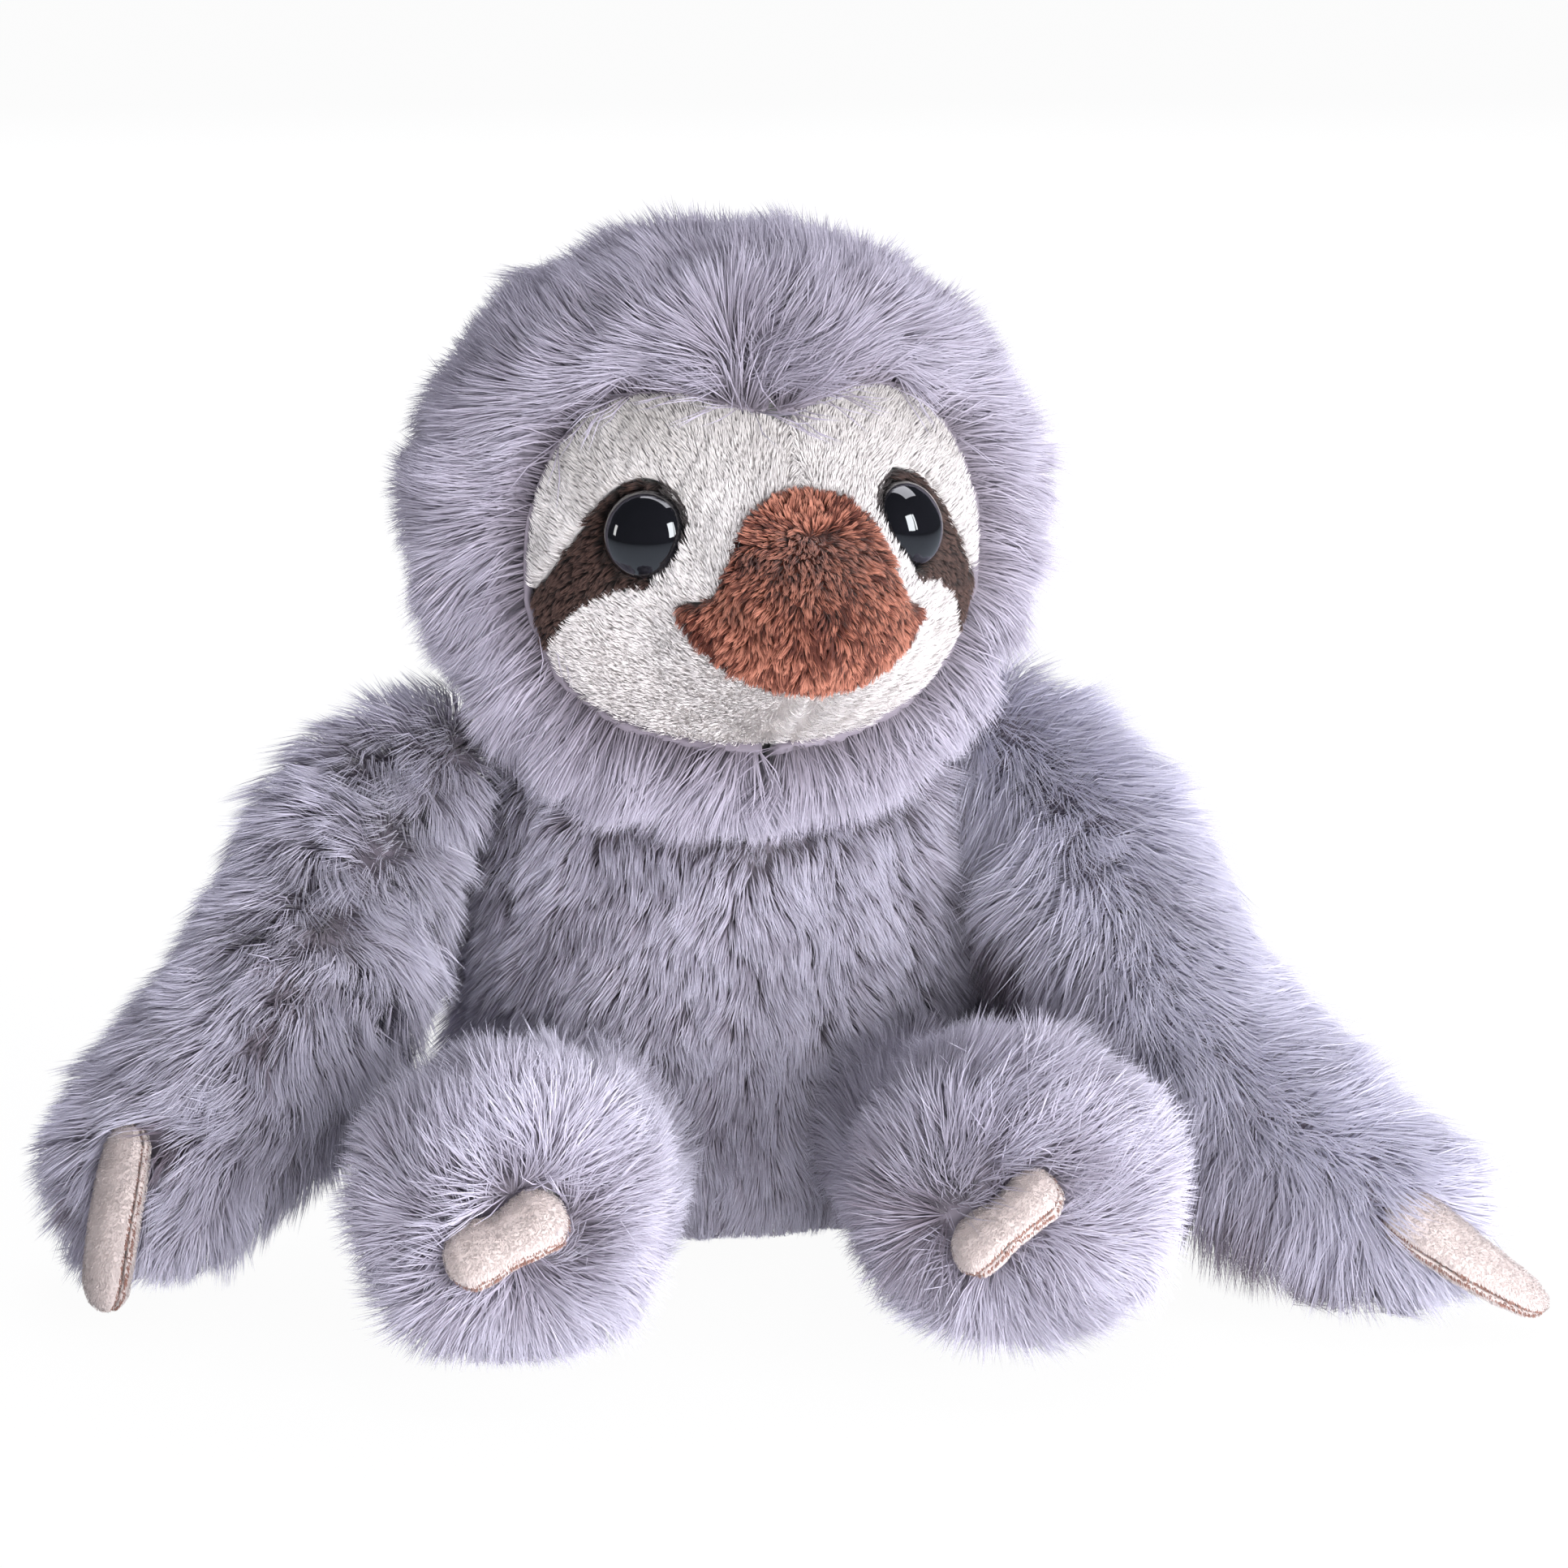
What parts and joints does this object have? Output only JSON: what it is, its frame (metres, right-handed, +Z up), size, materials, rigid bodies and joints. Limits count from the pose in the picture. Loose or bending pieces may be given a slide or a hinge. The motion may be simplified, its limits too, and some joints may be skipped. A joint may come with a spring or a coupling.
{
  "type": "plush sloth",
  "caption": "Seated long-pile plush sloth with a round hooded head, cream velour face, dark eye patches, brown nose, hinged neck and limbs, and soft claws.",
  "frame": {"origin": "middle of the flat underside that the toy sits on, at the height of the table", "axes": "+Z up, the toy faces -Y, its left side is +X"},
  "size_m": [0.1982, 0.1235, 0.1408],
  "materials": {
    "long_pile": "long-pile fur, dark brown-grey at the roots, lilac-grey towards the tips",
    "tummy_pile": "long-pile fur, as on the back, combed down and under",
    "cream_velour": "short cream velour",
    "dark_velour": "short dark brown velour",
    "brown_velour": "short reddish-brown velour",
    "claw_velour": "short pale velour with a reddish seam",
    "fibre_fill": "white polyester fibre",
    "pellet_cloth": "plain woven cloth",
    "eye_plastic": "glossy black",
    "washer_plastic": "matt white"
  },
  "bodies": {
    "torso": {"body_front": "tummy_pile", "body_back": "long_pile", "seat_panel": "tummy_pile", "body_stuffing": "fibre_fill", "pellet_bag": "pellet_cloth"},
    "neck": {"neck_stuffing": "fibre_fill"},
    "head": {"face_left": "cream_velour", "face_right": "cream_velour", "nose_patch": "brown_velour", "eye_patch_left": "dark_velour", "eye_patch_right": "dark_velour", "hood_left": "long_pile", "hood_right": "long_pile", "head_stuffing": "fibre_fill", "eye_left": "eye_plastic", "eye_right": "eye_plastic", "eye_washer_left": "washer_plastic", "eye_washer_right": "washer_plastic"},
    "arm_left": {"arm_left_upper": "long_pile", "arm_left_under": "tummy_pile", "arm_left_stuffing": "fibre_fill", "hand_claw_left_upper": "claw_velour", "hand_claw_left_under": "claw_velour", "hand_claw_left_wadding": "fibre_fill"},
    "arm_right": {"arm_right_upper": "long_pile", "arm_right_under": "tummy_pile", "arm_right_stuffing": "fibre_fill", "hand_claw_right_upper": "claw_velour", "hand_claw_right_under": "claw_velour", "hand_claw_right_wadding": "fibre_fill"},
    "leg_left": {"leg_left_upper": "long_pile", "leg_left_under": "tummy_pile", "leg_left_stuffing": "fibre_fill", "foot_claw_left_upper": "claw_velour", "foot_claw_left_under": "claw_velour", "foot_claw_left_wadding": "fibre_fill"},
    "leg_right": {"leg_right_upper": "long_pile", "leg_right_under": "tummy_pile", "leg_right_stuffing": "fibre_fill", "foot_claw_right_upper": "claw_velour", "foot_claw_right_under": "claw_velour", "foot_claw_right_wadding": "fibre_fill"}
  },
  "joints": [
    {"name": "neck_turn", "type": "hinge", "parent": "torso", "child": "neck", "pos_m": [0, -0.006, 0.099], "axis": [0, 0, 1], "range_deg": [-40, 40], "stiffness_Nm_per_rad": 0.05},
    {"name": "head_nod", "type": "hinge", "parent": "neck", "child": "head", "pos_m": [0, -0.006, 0.099], "axis": [0.9962, 0.0872, 0], "range_deg": [-12, 12], "stiffness_Nm_per_rad": 0.05},
    {"name": "arm_left_swing", "type": "hinge", "parent": "torso", "child": "arm_left", "pos_m": [0.04, 0.003, 0.065], "axis": [1, 0, 0], "range_deg": [-75, 20]},
    {"name": "arm_right_swing", "type": "hinge", "parent": "torso", "child": "arm_right", "pos_m": [-0.04, 0.003, 0.065], "axis": [1, 0, 0], "range_deg": [-75, 20]},
    {"name": "leg_left_swing", "type": "hinge", "parent": "torso", "child": "leg_left", "pos_m": [0.024, -0.025, 0.017], "axis": [1, 0, 0], "range_deg": [-30, 35]},
    {"name": "leg_right_swing", "type": "hinge", "parent": "torso", "child": "leg_right", "pos_m": [-0.024, -0.025, 0.017], "axis": [1, 0, 0], "range_deg": [-30, 35]}
  ]
}
